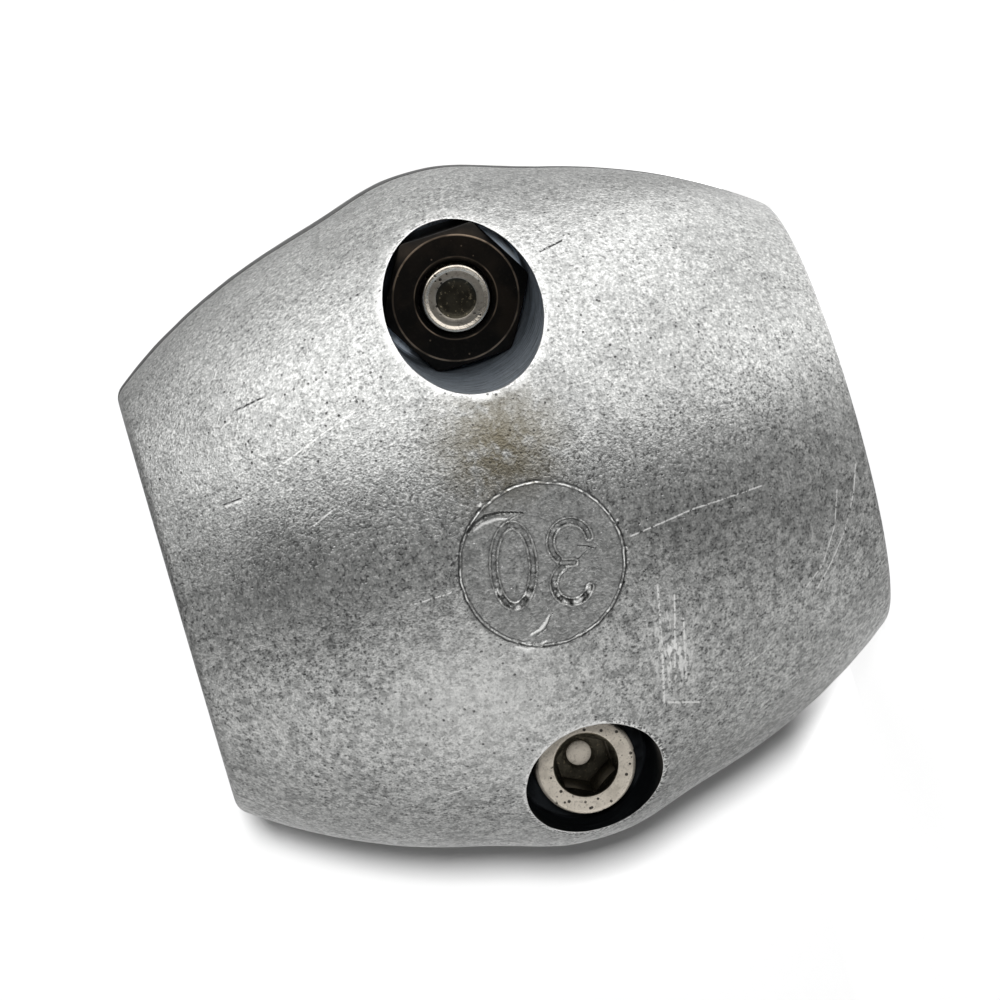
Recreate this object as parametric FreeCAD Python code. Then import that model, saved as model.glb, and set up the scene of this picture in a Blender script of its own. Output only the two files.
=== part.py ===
"""Barrel-shaped sacrificial anode that clamps round a propeller shaft.

Two cast zinc half shells close round the shaft. Two socket screws pull them
together, one from each side, and each screw ends in a nut in the other shell.
The shaft runs along Z and the anode stands on its lower end face at Z = 0.
The shells part on the plane Y = 0, and the screws lie along Y.
"""

import FreeCAD, Part
import math
import os

# Body, in millimetres
shaft_dia = 30.0            # shaft that the anode clamps, and so its bore
body_length = 65.5          # along the shaft
middle_dia = 64.0           # barrel's waist, at mid-length
end_dia = 41.6              # barrel's ends
end_rounding = 1.2          # radius of the casting's outer end edges
rounding_steps = 2          # sections that carry each rounding
bore_edge = 0.6             # chamfer where the shaft enters
parting_edge = 0.25         # broken edge along the line where the shells meet
swell_height = 1.5          # extra thickness beside the screws, at mid-length
swell_half_width = 7.6      # half the length over which it fades out
swell_power = 2.6           # flatness of the swelling's top
section_count = 25          # sections between the two roundings

# Round pad in the middle of each shell's crown, left by the mould's insert
pad_dia = 15.0
pad_depth = 0.7             # its face below the crown's highest point
pad_root = 3.0              # how far its rim is carried down into the casting

# Screws and their holes
screw_spacing = 46.3        # between the two screws
thread_dia = 8.0
screw_length = 25.0         # under the head
head_dia = 10.0
head_height = 6.5
head_edge = 0.3             # chamfer round the head's top
socket_across_flats = 5.0
socket_depth = 5.0
socket_mouth_dia = 6.3      # rim of the chamfer that leads into the socket
tip_flat_dia = 5.6          # face of the screw's chamfered tip
hole_clearance = 0.4        # round the shank, all round
head_clearance = 1.7        # round the head, all round, so that it can't bind

# Nuts and their pockets
nut_across_flats = 12.8
nut_height = 6.5
nut_face_dia = 11.9         # circle where the nut's corner bevels meet its top
nut_corner_loss = 0.15      # taken off the nut's width across corners
nut_bevel_angle = 30.0      # of the corner bevels, from the nut's top
nut_mouth_dia = 8.7         # countersink at the top of the thread
thread_clearance = 0.05     # between the screw and the nut's thread, all round
nut_clearance = 0.2         # between the nut's corners and its pocket
seat_height = 9.0           # pocket floors above the parting plane

# How far the front fasteners are turned when tightened, in degrees
nut_turn = 1.8
socket_turn = 33.5

end_radius = end_dia / 2
middle_radius = middle_dia / 2
mid_height = body_length / 2
screw_offset = screw_spacing / 2
nut_corner_dia = nut_across_flats / math.cos(math.radians(30.0))
nut_round_dia = nut_corner_dia - nut_corner_loss
nut_pocket_dia = nut_corner_dia + 2 * nut_clearance
head_pocket_dia = head_dia + 2 * head_clearance
outside = middle_dia        # a length that surely reaches past the casting
hair = 0.001                # too small to matter, for telling places apart


def barrel_outline():
    """(height, radius) points up the barrel: an arc with rounded ends."""
    drop = middle_radius - end_radius
    arc_radius = (mid_height ** 2 + drop ** 2) / (2 * drop)
    arc_centre = middle_radius - arc_radius

    # The rounding's centre is one rounding inside both the arc and the end
    down = mid_height - end_rounding
    out = math.sqrt((arc_radius - end_rounding) ** 2 - down ** 2)
    first = math.pi / 2
    last = math.atan2(down, out)

    lower = []
    for index in range(rounding_steps):
        angle = first + (last - first) * index / rounding_steps
        radius = arc_centre + out + end_rounding * math.cos(angle)
        height = end_rounding - end_rounding * math.sin(angle)
        lower.append((height, radius))
    middle = []
    for index in range(section_count):
        angle = last - 2 * last * index / (section_count - 1)
        radius = arc_centre + arc_radius * math.cos(angle)
        height = mid_height - arc_radius * math.sin(angle)
        middle.append((height, radius))
    upper = [(body_length - height, radius) for height, radius in reversed(lower)]
    return lower + middle + upper


def swelling(along):
    """Extra thickness beside the screws at a distance from mid-length."""
    return swell_height * math.exp(-(abs(along) / swell_half_width) ** swell_power)


def half_section(height, thin):
    """The front half of a cross-section, with the broken parting edges.

    The slanted edges run on past the parting plane, where the half is cut.
    """
    wide = thin + swelling(height - mid_height) + hair
    outline = Part.Ellipse(
        FreeCAD.Vector(wide, 0, height),
        FreeCAD.Vector(0, thin, height),
        FreeCAD.Vector(0, 0, height),
    )
    lift = math.asin(parting_edge / thin)
    skin = outline.toShape(math.pi + lift, 2 * math.pi - lift)
    left = skin.Vertexes[0].Point
    right = skin.Vertexes[-1].Point
    slant = FreeCAD.Vector(2 * parting_edge, -2 * parting_edge, 0)
    mirrored_slant = FreeCAD.Vector(-slant.x, slant.y, 0)
    return Part.Wire([
        skin,
        Part.makeLine(right, right - slant),
        Part.makeLine(right - slant, left - mirrored_slant),
        Part.makeLine(left - mirrored_slant, left),
    ])


def half_barrel():
    """The outer form of the front shell, in narrow straight bands up the shaft."""
    sections = [half_section(height, radius) for height, radius in barrel_outline()]
    body = Part.makeLoft(sections, True, True)
    corner = FreeCAD.Vector(-outside, -outside, 0)
    front = Part.makeBox(2 * outside, outside, body_length, corner)
    return body.common(front)


def cylinder_along_y(radius, low, high, x):
    """A cylinder along Y at mid-length, from Y = low to Y = high."""
    return Part.makeCylinder(
        radius,
        high - low,
        FreeCAD.Vector(x, low, mid_height),
        FreeCAD.Vector(0, 1, 0),
    )


def shaft_bore():
    """The shaft's space, with a chamfer's cone at each end."""
    radius = shaft_dia / 2
    wide = radius + bore_edge
    bore = Part.makeCylinder(radius, body_length)
    low = Part.makeCone(wide, radius, bore_edge)
    high = Part.makeCone(radius, wide, bore_edge)
    high.translate(FreeCAD.Vector(0, 0, body_length - bore_edge))
    return bore.fuse([low, high])


def front_half_shell():
    """The casting on the -Y side: bore, crown pad, screw holes and pockets."""
    shell = half_barrel()

    pad_face = pad_depth - middle_radius
    pad_radius = pad_dia / 2
    shell = shell.cut(cylinder_along_y(pad_radius, -outside, pad_face, 0))
    shell = shell.fuse(cylinder_along_y(pad_radius, pad_face, pad_face + pad_root, 0))

    hole_radius = thread_dia / 2 + hole_clearance
    spaces = [
        shaft_bore(),
        cylinder_along_y(nut_pocket_dia / 2, -outside, -seat_height, screw_offset),
        cylinder_along_y(head_pocket_dia / 2, -outside, -seat_height, -screw_offset),
        cylinder_along_y(hole_radius, -outside, outside, screw_offset),
        cylinder_along_y(hole_radius, -outside, outside, -screw_offset),
    ]
    return shell.cut(spaces)


def hex_prism(across_flats, height, base):
    """A hexagonal prism along Z, with a corner on +X."""
    corner = across_flats / 2 / math.cos(math.radians(30.0))
    points = []
    for index in range(7):
        angle = math.radians(60.0 * index)
        points.append(FreeCAD.Vector(corner * math.cos(angle), corner * math.sin(angle), base))
    outline = Part.Face(Part.Wire(Part.makePolygon(points)))
    return outline.extrude(FreeCAD.Vector(0, 0, height))


def turned(profile):
    """A solid turned about Z from (radius, height) points of half its section."""
    points = [FreeCAD.Vector(radius, 0, height) for radius, height in profile]
    outline = Part.Face(Part.Wire(Part.makePolygon(points + points[:1])))
    return outline.revolve(FreeCAD.Vector(0, 0, 0), FreeCAD.Vector(0, 0, 1), 360)


def hex_nut():
    """A nut seated on Z = 0, its top bevelled and its bore countersunk there."""
    face = nut_face_dia / 2
    corner = nut_round_dia / 2
    bevel = (corner - face) * math.tan(math.radians(nut_bevel_angle))
    bore = thread_dia / 2 + thread_clearance
    mouth = nut_mouth_dia / 2
    sink = mouth - bore
    turned_blank = turned([
        (bore, 0),
        (corner, 0),
        (corner, nut_height - bevel),
        (face, nut_height),
        (mouth, nut_height),
        (bore, nut_height - sink),
    ])
    nut = turned_blank.common(hex_prism(nut_across_flats, nut_height, 0))
    nut.rotate(FreeCAD.Vector(), FreeCAD.Vector(0, 0, 1), nut_turn)
    return nut


def socket_screw():
    """A screw whose head sits on Z = 0 and whose shank points down."""
    head = head_dia / 2
    shank = thread_dia / 2
    flat = tip_flat_dia / 2
    top = head_height
    tip = -screw_length
    body = turned([
        (0, tip),
        (flat, tip),
        (shank, tip + shank - flat),
        (shank, 0),
        (head, 0),
        (head, top - head_edge),
        (head - head_edge, top),
        (0, top),
    ])
    mouth = socket_mouth_dia / 2
    lead_in = Part.makeCone(0, mouth, mouth, FreeCAD.Vector(0, 0, top - mouth))
    floor = top - socket_depth
    socket = hex_prism(socket_across_flats, socket_depth, floor)
    screw = body.cut([lead_in, socket])
    screw.rotate(FreeCAD.Vector(), FreeCAD.Vector(0, 0, 1), socket_turn)
    return screw


def seated_in_front(fastener, x):
    """A fastener moved to the front shell's pocket floor, its top facing -Y."""
    facing_out = FreeCAD.Rotation(
        FreeCAD.Vector(0, 0, -1),
        FreeCAD.Vector(1, 0, 0),
        FreeCAD.Vector(0, -1, 0),
        "ZXY",
    )
    seat = FreeCAD.Vector(x, -seat_height, mid_height)
    placed = fastener.copy()
    placed.Placement = FreeCAD.Placement(seat, facing_out).multiply(placed.Placement)
    return placed


def half_turn(shape):
    """A copy turned half a turn about the shaft, from the front to the back."""
    copy = shape.copy()
    copy.rotate(FreeCAD.Vector(), FreeCAD.Vector(0, 0, 1), 180)
    return copy


def main():
    """Build the three front pieces and their twins at the back."""
    front = {
        "half_shell": front_half_shell(),
        "socket_screw": seated_in_front(socket_screw(), -screw_offset),
        "hex_nut": seated_in_front(hex_nut(), screw_offset),
    }
    os.makedirs("parts", exist_ok=True)
    for name, shape in front.items():
        shape.exportStep(f"parts/front_{name}.step")
        half_turn(shape).exportStep(f"parts/back_{name}.step")


main()
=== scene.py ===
"""Looks of a barrel-shaped shaft anode.

Two cast zinc half shells, the socket screws and hexagon nuts that clamp them
round the shaft, and the plain stage that they stand on. The anode stands on its
lower end face, its shaft runs along Z, and the front shell faces -Y.
"""

import math

import bmesh
import bpy
import numpy as np
from bpy.props import FloatProperty, FloatVectorProperty, PointerProperty
from mathutils import Matrix, Vector
from mathutils.geometry import delaunay_2d_cdt


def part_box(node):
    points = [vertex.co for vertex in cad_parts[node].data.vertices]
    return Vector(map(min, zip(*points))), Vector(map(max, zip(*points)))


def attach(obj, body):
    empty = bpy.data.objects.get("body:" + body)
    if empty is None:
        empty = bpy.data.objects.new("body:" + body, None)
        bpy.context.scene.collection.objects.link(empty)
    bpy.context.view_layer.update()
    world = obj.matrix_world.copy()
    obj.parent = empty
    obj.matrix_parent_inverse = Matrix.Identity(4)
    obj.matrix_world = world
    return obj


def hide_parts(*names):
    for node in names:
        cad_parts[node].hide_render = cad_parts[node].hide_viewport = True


bl_info = {
    "name": "Shaft Anode",
    "version": (1, 0, 0),
    "blender": (4, 5, 0),
    "location": "View3D > Sidebar > Anode",
    "description": "Casts, finishes and lights a zinc anode for a propeller shaft",
    "category": "Object",
}

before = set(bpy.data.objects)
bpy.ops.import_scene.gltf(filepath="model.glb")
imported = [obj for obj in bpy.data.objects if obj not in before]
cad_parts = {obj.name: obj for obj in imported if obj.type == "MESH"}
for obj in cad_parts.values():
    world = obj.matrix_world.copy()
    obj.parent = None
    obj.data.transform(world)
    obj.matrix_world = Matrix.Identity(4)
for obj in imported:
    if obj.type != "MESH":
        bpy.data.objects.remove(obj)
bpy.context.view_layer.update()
_, shell_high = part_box("front_half_shell")
nut_low, nut_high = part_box("front_hex_nut")

MM = 0.001              # metres in a millimetre
FULL_TURN = 2 * math.pi
SIXTH_TURN = math.pi / 3
SHARP = math.radians(38)        # edges turned more than this are shaded sharp

# Mesh of a casting, in millimetres and counts
RIM_STEPS = 240         # points round each pocket's rim and round the pad
PAD_SKIRT = 0.75        # skin round the pad that is meshed with it
PAD_SPACING = 0.100     # between the points of the pad's face
RING_SPACING = 0.085    # between the rings of points along the pad's edge

# Stage, in metres
STAGE_REACH = 3.0       # how far the floor and backdrop run out
BACKDROP_Y = 0.0327     # just behind the anode
MIDDLE = (0.0, 0.0, 0.033)      # of the anode, where the lamps point
WHITE = (1.0, 1.0, 1.0)


# Sizes and colours

def number(name, description, default, **kind):
    """A property that holds one number, of a kind such as a unit or an angle."""
    return FloatProperty(name=name, description=description, default=default, **kind)


def length(name, description, default):
    """A property that holds a length in metres."""
    return number(name, description, default, min=0.0, unit="LENGTH", precision=5)


def angle(name, description, degrees):
    """A property that holds an angle, given here in degrees."""
    return number(name, description, math.radians(degrees), subtype="ANGLE")


def point(name, description, default):
    """A property that holds a place in metres."""
    return FloatVectorProperty(
        name=name, description=description, default=default, size=3, subtype="TRANSLATION"
    )


def colour(name, description, default):
    """A property that holds a colour."""
    return FloatVectorProperty(
        name=name,
        description=description,
        default=default,
        min=0.0,
        max=1.0,
        size=3,
        subtype="COLOR",
    )


class ShellSizes(bpy.types.PropertyGroup):
    """Sizes of the two castings."""

    body_length: length("Length", "Length along the shaft", shell_high.z)
    middle_dia: length("Waist", "Diameter at mid-length", 0.064)
    end_dia: length("Ends", "Diameter at the end faces", 0.0416)
    end_rounding: length("End rounding", "Radius of the outer end edges", 0.0018)
    shaft_dia: length("Bore", "Diameter of the shaft that is clamped", 0.030)
    bore_edge: length("Bore edge", "Chamfer where the shaft enters", 0.0006)
    parting_edge: length("Parting edge", "Broken edge where the shells meet", 0.00025)
    parting_gap: length("Parting gap", "How far each shell stays off the other", 0.00002)
    swell_height: length("Swelling", "Extra thickness beside the screws", 0.0015)
    swell_half_width: length("Swelling reach", "Half the length of the swelling", 0.0076)
    swell_power: number("Swelling flatness", "How flat the swelling's top is", 2.6, min=1.0)
    screw_offset: length("Screw offset", "From the shaft's axis to each screw", 0.02315)
    seat_height: length("Seats", "Pocket floors above the parting plane", 0.009)
    nut_pocket_dia: length("Nut pocket", "Diameter of the nut's pocket", 0.0144)
    head_pocket_dia: length("Screw pocket", "Diameter of the screw head's pocket", 0.0132)
    hole_dia: length("Screw hole", "Diameter of the hole for the screw", 0.0088)
    pad_dia: length("Pad", "Diameter of the round pad on the crown", 0.015)
    pad_depth: length("Pad depth", "Pad's face below the crown's top", 0.0007)
    numeral_height: length("Numerals", "Height of the bore-size numerals", 0.00813)
    skin_spacing: length("Skin spacing", "Distance between the skin's points", 0.00046)


class FastenerSizes(bpy.types.PropertyGroup):
    """Sizes of the screws and nuts."""

    thread_dia: length("Thread", "Diameter over the thread's crests", 0.0079)
    core_dia: length("Thread core", "Diameter at the thread's root", 0.0066)
    pitch: length("Pitch", "Distance from crest to crest", 0.00125)
    screw_length: length("Screw length", "Under the head", 0.025)
    head_dia: length("Head", "Diameter of the screw's head", 0.0096)
    head_height: length("Head height", "Height of the screw's head", 0.0065)
    socket_across_flats: length("Socket", "Socket across its flats", 0.005)
    socket_depth: length("Socket depth", "Depth of the socket", 0.005)
    socket_mouth_dia: length("Socket mouth", "Rim of the socket's chamfer", 0.0061)
    tip_flat_dia: length("Tip", "Face of the screw's tip", 0.0052)
    tip_neck_dia: length("Tip neck", "Plain end of the screw beyond its thread", 0.0064)
    tip_dish_dia: length("Tip dish", "Hollow in the screw's tip", 0.0038)
    nut_across_flats: length("Nut", "Nut across its flats", 0.0125)
    nut_height: length("Nut height", "Height of the nut", nut_high.y - nut_low.y)
    nut_face_dia: length("Nut face", "Circle where the bevels meet the face", 0.0118)
    nut_mouth_dia: length("Nut mouth", "Countersink of the nut's thread", 0.0077)
    nut_turn: angle("Nut turn", "How far the nut is turned when tightened", 1.8)
    socket_turn: angle("Socket turn", "How far the screw is turned when tightened", 33.5)


class AnodeColours(bpy.types.PropertyGroup):
    """Colours of the finishes."""

    zinc: colour("Cast zinc", "Skin of the castings", (0.56, 0.565, 0.555))
    zinc_dark: colour("Dull zinc", "Dark grains in the skin", (0.15, 0.152, 0.15))
    # Also the colour of the painted highlights on rims, the parting edge and the pad.
    zinc_bare: colour("Bare zinc", "Freshly broken edges", (0.94, 0.94, 0.92))
    pocket: colour("Pocket zinc", "Floor of the nut's pocket", (0.36, 0.41, 0.47))
    stain: colour("Stain", "Brown stain beside the pad", (0.19, 0.16, 0.095))
    steel: colour("Steel", "Screw's head and tip", (0.58, 0.53, 0.455))
    # The socket's dark brown is painted shade inside the recess.
    socket: colour("Socket", "Oily inside of the screw's socket", (0.15, 0.135, 0.10))
    nut: colour("Dark nut", "Blackened faces of the nut", (0.012, 0.011, 0.010))
    nut_edge: colour("Nut edges", "Bronze shine on the nut's worn edges", (0.30, 0.23, 0.17))
    floor: colour("Floor", "Pale floor and backdrop", (0.86, 0.86, 0.86))


class StageSettings(bpy.types.PropertyGroup):
    """Camera and lamps."""

    camera_place: point("Camera", "Where the camera stands", (0.09267, -0.47089, 0.06377))
    camera_aim: point("Aim", "Point in the middle of the picture", (0.00258, -0.010, 0.03348))
    camera_roll: angle("Roll", "Turn about the line of sight, from +X up", -15.6)
    lens: number("Lens", "Focal length on a 36 mm sensor", 179.05, unit="CAMERA")
    key_power: number("Front lamp", "Power of the lamp in front of the anode", 12.9, unit="POWER")
    fill_power: number("Top lamp", "Power of the lamp above the anode", 0.8, unit="POWER")
    room_level: number("Room", "Plain light from the room all round", 0.035, min=0.0)
    floor_gain: number("Floor gain", "How bright the camera sees the floor's light", 0.5, min=0.0)
    floor_glow: number("Floor glow", "White seen on the floor in any light", 0.90, min=0.0)
    card_gain: number("Backdrop gain", "How bright the camera sees the backdrop", 0.87, min=0.0)


# Mesh building, in millimetres

class Patchwork:
    """Patches of one piece, joined where their edges meet."""

    def __init__(self):
        self.points = []
        self.faces = []
        self.finishes = []
        self.count = 0

    def add(self, points, faces, finish):
        """Takes a patch's points, its faces and the number of its finish."""
        points = np.asarray(points, float).reshape(-1, 3)
        self.points.append(points)
        self.faces.append(np.asarray(faces, int) + self.count)
        self.finishes.append(np.full(len(faces), finish))
        self.count += len(points)

    def grid(self, rows, finish=0, ring=False):
        """Quads between rows of points; a ring joins each row's end to its start."""
        rows = np.asarray(rows, float)
        high, wide = rows.shape[:2]
        place = np.arange(high * wide).reshape(high, wide)
        if ring:
            place = np.hstack([place, place[:, :1]])
        faces = np.stack(
            [place[:-1, :-1], place[:-1, 1:], place[1:, 1:], place[1:, :-1]], axis=-1
        )
        self.add(rows, faces.reshape(-1, 4), finish)

    def cap(self, row, finish=0):
        """Triangles from a closed row of points to its centre."""
        row = np.asarray(row, float)
        last = len(row)
        faces = [(i, (i + 1) % last, last, last) for i in range(last)]
        self.add(np.vstack([row, row.mean(axis=0)]), faces, finish)

    def bmesh(self, join=0.002):
        """The patches as one bmesh in millimetres, its points joined."""
        points = np.vstack(self.points)
        made = bmesh.new()
        verts = [made.verts.new(point) for point in points]
        for faces, finishes in zip(self.faces, self.finishes):
            for face, finish in zip(faces, finishes):
                corners = [verts[i] for i in dict.fromkeys(face.tolist())]
                try:
                    made_face = made.faces.new(corners)
                except ValueError:
                    continue
                made_face.material_index = int(finish)
                made_face.smooth = True
        bmesh.ops.remove_doubles(made, verts=made.verts, dist=join)
        bmesh.ops.dissolve_degenerate(made, edges=made.edges, dist=join / 10)
        return made


def as_object(made, name, finishes, placement=None):
    """A mesh object in metres from a bmesh in millimetres."""
    bmesh.ops.recalc_face_normals(made, faces=made.faces)
    bmesh.ops.scale(made, vec=(MM, MM, MM), verts=made.verts)
    mesh = bpy.data.meshes.new(name)
    made.to_mesh(mesh)
    made.free()
    for finish in finishes:
        mesh.materials.append(finish)
    mesh.set_sharp_from_angle(angle=SHARP)
    piece = bpy.data.objects.new(name, mesh)
    bpy.context.scene.collection.objects.link(piece)
    if placement is not None:
        piece.matrix_world = placement
    return piece


def triangulated(points, loops, epsilon=1e-6):
    """Triangles through flat points, with closed loops of edges kept."""
    links = []
    start = 0
    for loop in loops:
        count = len(loop)
        links += [(start + i, start + (i + 1) % count) for i in range(count)]
        start += count
    flat = np.vstack([*loops, points])
    result = delaunay_2d_cdt([Vector(point) for point in flat], links, [], 0, epsilon)
    return np.array([tuple(point) for point in result[0]]), np.array(result[2])


def within(points, loop):
    """True for the flat points that lie inside a closed loop."""
    result = np.zeros(len(points), bool)
    for start, end in zip(loop, np.roll(loop, -1, axis=0)):
        rise = end[1] - start[1]
        if rise == 0:
            continue
        crosses = (start[1] > points[:, 1]) != (end[1] > points[:, 1])
        at = start[0] + (points[:, 1] - start[1]) * (end[0] - start[0]) / rise
        result ^= crosses & (points[:, 0] < at)
    return result


def smooth(value):
    """An S-curve from 0 to 1."""
    value = np.clip(value, 0.0, 1.0)
    return value * value * (3 - 2 * value)


def ripple(points, seed, shortest, longest, waves=36):
    """Even noise from seeded waves through space, about -1 to 1."""
    random = np.random.default_rng(seed)
    total = np.zeros(len(points))
    weights = 0.0
    for _ in range(waves):
        wavelength = shortest * (longest / shortest) ** random.random()
        direction = random.normal(size=3)
        direction /= np.linalg.norm(direction)
        weight = wavelength ** 0.7
        phase = random.uniform(0, 2 * math.pi)
        total += weight * np.sin(points @ direction * 2 * math.pi / wavelength + phase)
        weights += weight ** 2
    return total / math.sqrt(weights)


def ring_noise(angles, seed, lowest=3, highest=40, waves=26):
    """Noise round a ring, about -1 to 1, that closes on itself."""
    random = np.random.default_rng(seed)
    total = np.zeros_like(angles)
    weights = 0.0
    for _ in range(waves):
        turns = random.integers(lowest, highest)
        weight = turns ** -0.5
        total += weight * np.sin(turns * angles + random.uniform(0, 2 * math.pi))
        weights += weight ** 2
    return total / math.sqrt(weights)


def ring_chips(angles, seed, count, width):
    """Chips scattered round a ring, each from 0 to 1 deep."""
    random = np.random.default_rng(seed)
    total = np.zeros_like(angles)
    for _ in range(count):
        middle = random.uniform(0, 2 * math.pi)
        reach = width * random.uniform(0.5, 1.6)
        away = (angles - middle + math.pi) % (2 * math.pi) - math.pi
        depth = random.uniform(0.3, 1.0)
        total = np.maximum(total, depth * np.exp(-(away / reach) ** 2))
    return total


def distance_to_line(points, line):
    """Distance from flat points to a line of points, and how far along it lies."""
    line = np.asarray(line, float)
    starts = line[:-1]
    steps = line[1:] - starts
    spans = np.maximum(np.linalg.norm(steps, axis=1), 1e-9)
    travelled = np.concatenate([[0], np.cumsum(spans)])
    best = np.full(len(points), 1e9)
    along = np.zeros(len(points))
    for start, step, span, before in zip(starts, steps, spans, travelled):
        share = np.clip((points - start) @ step / span ** 2, 0, 1)
        away = np.linalg.norm(points - start - share[:, None] * step, axis=1)
        nearer = away < best
        best = np.where(nearer, away, best)
        along = np.where(nearer, before + share * span, along)
    return best, along / travelled[-1]


# Half shells

class Casting:
    """The half shell's form, in millimetres, with its front facing -Y."""

    def __init__(self, sizes):
        self.length = sizes.body_length / MM
        self.mid = self.length / 2
        self.waist = sizes.middle_dia / 2 / MM
        self.rounding = sizes.end_rounding / MM
        self.bore = sizes.shaft_dia / 2 / MM
        self.bore_edge = sizes.bore_edge / MM
        self.edge = sizes.parting_edge / MM
        self.gap = sizes.parting_gap / MM
        self.swell = sizes.swell_height / MM
        self.swell_reach = sizes.swell_half_width / MM
        self.swell_power = sizes.swell_power
        self.seat = sizes.seat_height / MM
        self.hole = sizes.hole_dia / 2 / MM
        self.pad = sizes.pad_dia / 2 / MM
        self.pad_face = sizes.pad_depth / MM - self.waist
        self.numeral = sizes.numeral_height / MM
        offset = sizes.screw_offset / MM
        self.pockets = [
            (offset, sizes.nut_pocket_dia / 2 / MM),
            (-offset, sizes.head_pocket_dia / 2 / MM),
        ]
        self.spacing = sizes.skin_spacing / MM

        drop = self.waist - sizes.end_dia / 2 / MM
        self.arc = (self.mid ** 2 + drop ** 2) / (2 * drop)
        self.arc_centre = self.waist - self.arc
        down = self.mid - self.rounding
        out = math.sqrt((self.arc - self.rounding) ** 2 - down ** 2)
        self.slope = math.atan2(down, out)
        self.end_radius = self.arc_centre + out
        self.round_run = self.rounding * (math.pi / 2 - self.slope)
        self.run = 2 * (self.round_run + self.arc * self.slope)

    def outline(self, travel):
        """(radius, height) of the barrel after some travel up its outline."""
        travel = np.asarray(travel, float)
        from_end = np.minimum(travel, self.run - travel)
        turn = math.pi / 2 - from_end / self.rounding
        end_radius = self.end_radius + self.rounding * np.cos(turn)
        end_height = self.rounding * (1 - np.sin(turn))
        rise = self.slope - (from_end - self.round_run) / self.arc
        radius = self.arc_centre + self.arc * np.cos(rise)
        height = self.mid - self.arc * np.sin(rise)
        in_rounding = from_end < self.round_run
        radius = np.where(in_rounding, end_radius, radius)
        height = np.where(in_rounding, end_height, height)
        return radius, np.where(travel > self.run / 2, self.length - height, height)

    def radius(self, height):
        """Barrel's radius at a height between the end roundings."""
        away = height - self.mid
        return self.arc_centre + np.sqrt(self.arc ** 2 - away ** 2)

    def travel(self, height):
        """Travel up the outline to a height between the end roundings."""
        rise = np.arcsin((self.mid - height) / self.arc)
        return self.round_run + (self.slope - rise) * self.arc

    def swelling(self, height):
        """Extra half width beside the screws at a height."""
        away = np.abs(height - self.mid) / self.swell_reach
        return self.swell * np.exp(-away ** self.swell_power)

    def across(self, radius, height, share, inset=0.0, lift=None):
        """Points across the half, from share -1 at +X to share 1 at -X."""
        if lift is None:
            lift = self.edge
        deep = radius - inset
        low = np.arcsin(lift / deep)
        angle = math.pi / 2 + share * (math.pi / 2 - low)
        wide = deep + self.swelling(height)
        x = wide * np.cos(angle)
        y = -deep * np.sin(angle)
        return np.stack(np.broadcast_arrays(x, y, height), axis=-1)

    def skin_y(self, x, z):
        """The skin's Y above a place in the XZ plane."""
        radius = self.radius(z)
        wide = radius + self.swelling(z)
        return -radius * np.sqrt(np.maximum(1 - (x / wide) ** 2, 0))

    def share(self, x, z):
        """Share across the half of the skin above a place in the XZ plane."""
        radius = self.radius(z)
        wide = radius + self.swelling(z)
        low = np.arcsin(self.edge / radius)
        return (np.arccos(x / wide) - math.pi / 2) / (math.pi / 2 - low)


def numeral_lines():
    """Centre lines of the numerals 30, upright, one unit high, about the pad."""
    turn = np.linspace(0, 2 * math.pi, 73)
    nought = np.stack([0.322 + 0.222 * np.cos(turn), 0.46 * np.sin(turn)], axis=1)
    top = np.radians(np.linspace(165, -62, 30))
    low = np.radians(np.linspace(52, -170, 30))
    upper = np.stack([-0.325 + 0.205 * np.cos(top), 0.247 + 0.212 * np.sin(top)], axis=1)
    lower = np.stack([-0.325 + 0.220 * np.cos(low), -0.225 + 0.235 * np.sin(low)], axis=1)
    bar = np.array([(-0.215, 0.008), (-0.36, 0.012)])
    return [nought, upper, bar, lower]


# Marks in the pad, at (x, z) places in millimetres from its middle. Lumps of flash
# round its edge are (degrees round it, degrees wide, height); cuts are (line, width,
# depth, dirt with painted shade); burrs are (line, width, height); and pits are places.
PAD_LUMPS = [
    (-73, 5, 0.40), (-97, 7, 0.34), (-108, 4, 0.28), (148, 6, 0.24), (160, 6, 0.44),
    (172, 9, 0.34), (-163, 8, 0.22), (66, 5, 0.20), (93, 4, 0.16), (122, 4, 0.22),
    (30, 12, 0.10),
]
PAD_CUTS = [
    ([(4.7, 5.8), (5.3, 4.9), (5.7, 3.8), (5.64, 2.5), (5.3, 1.3), (5.0, 0.4)], 0.17, 0.16, 1.0),
    ([(4.7, 2.1), (4.9, 1.3), (5.0, 0.4)], 0.09, 0.08, 0.8),
    ([(-6.2, 2.2), (-5.9, 1.3), (-5.0, 0.6), (-4.6, 0.2)], 0.12, 0.08, 0.8),
    ([(0.7, -3.6), (0.4, -4.4), (0.0, -5.0), (0.2, -5.3)], 0.14, 0.08, 0.9),
    ([(-0.5, -3.2), (0.0, -4.2), (0.1, -4.8)], 0.10, 0.06, 0.8),
    ([(-1.7, 0.6), (-1.4, -0.3)], 0.09, 0.05, 0.6),
    ([(4.0, -1.0), (3.9, -1.2)], 0.10, 0.06, 0.8),
]
PAD_BURRS = [
    ([(4.7, 5.2), (5.1, 4.2), (5.15, 2.9), (4.9, 2.0)], 0.13, 0.05),
    ([(-6.0, 2.7), (-5.8, 1.75), (-5.3, 1.1), (-4.7, 0.6)], 0.13, 0.08),
    ([(-6.7, 4.3), (-7.3, 3.3), (-7.2, 2.2), (-7.0, 1.5)], 0.16, 0.10),
]
PAD_GOUGE = [(4.9, 5.3), (5.4, 4.2), (5.4, 3.0)]
PAD_PITS = [
    (0.87, 2.36), (0.33, 2.57), (0.0, 3.1), (-1.4, 2.8), (1.9, 5.6), (1.6, -2.8),
    (1.35, -4.0), (-2.7, 0.7), (-0.9, -5.9), (-3.5, 5.7), (0.6, 2.5), (0.36, 2.3),
]


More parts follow.
